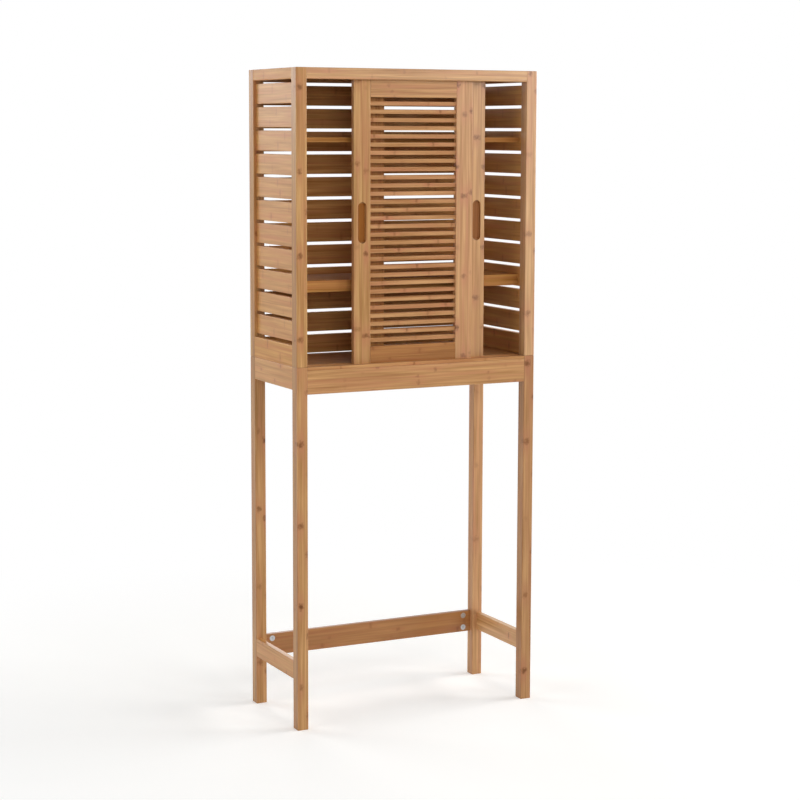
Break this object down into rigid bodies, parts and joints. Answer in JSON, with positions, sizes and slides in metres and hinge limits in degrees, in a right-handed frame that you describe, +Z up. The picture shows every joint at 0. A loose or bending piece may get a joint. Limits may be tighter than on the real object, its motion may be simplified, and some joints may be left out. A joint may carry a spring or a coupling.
{
  "type": "bathroom space saver cabinet",
  "caption": "Free-standing bamboo cabinet on an open stand that straddles a toilet, with slatted sides and back, shelves and louvred doors that slide past each other.",
  "frame": {"origin": "on the floor, under the middle of the cabinet's width and depth", "axes": "+X to the right as seen from the front, +Y to the rear (towards the wall), +Z up"},
  "size_m": [0.674, 0.298, 1.65],
  "materials": {
    "bamboo": "satin clear lacquer",
    "dowel_wood": "raw turned wood",
    "fitting_metal": "zinc plated"
  },
  "bodies": {
    "cabinet": {"front_left_leg": "bamboo", "front_right_leg": "bamboo", "rear_left_leg": "bamboo", "rear_right_leg": "bamboo", "front_left_post": "bamboo", "front_right_post": "bamboo", "rear_left_post": "bamboo", "rear_right_post": "bamboo", "front_apron": "bamboo", "rear_apron": "bamboo", "left_apron": "bamboo", "right_apron": "bamboo", "rear_stretcher": "bamboo", "left_stretcher": "bamboo", "right_stretcher": "bamboo", "floor_panel": "bamboo", "front_top_rail": "bamboo", "back_top_rail": "bamboo", "left_top_rail": "bamboo", "right_top_rail": "bamboo", "left_bottom_rail": "bamboo", "right_bottom_rail": "bamboo", "top_panel": "bamboo", "left_side_slats": "bamboo", "right_side_slats": "bamboo", "back_slats": "bamboo", "upper_shelf": "bamboo", "lower_shelf": "bamboo", "stand_dowels": "dowel_wood", "cabinet_dowels": "dowel_wood", "shelf_dowels": "dowel_wood", "corner_pins": "fitting_metal", "cam_locks": "fitting_metal", "cam_bolts": "fitting_metal"},
    "front_door": {"front_door_left_stile": "bamboo", "front_door_right_stile": "bamboo", "front_door_top_rail": "bamboo", "front_door_bottom_rail": "bamboo", "front_door_louvres": "bamboo", "front_door_dowels": "dowel_wood"},
    "rear_door": {"rear_door_left_stile": "bamboo", "rear_door_right_stile": "bamboo", "rear_door_top_rail": "bamboo", "rear_door_bottom_rail": "bamboo", "rear_door_louvres": "bamboo", "rear_door_dowels": "dowel_wood"}
  },
  "joints": [
    {"name": "front_door_slide", "type": "slide", "parent": "cabinet", "child": "front_door", "axis": [1, 0, 0], "range_m": [-0.1335, 0.1485]},
    {"name": "rear_door_slide", "type": "slide", "parent": "cabinet", "child": "rear_door", "axis": [1, 0, 0], "range_m": [-0.1805, 0.1015]}
  ]
}
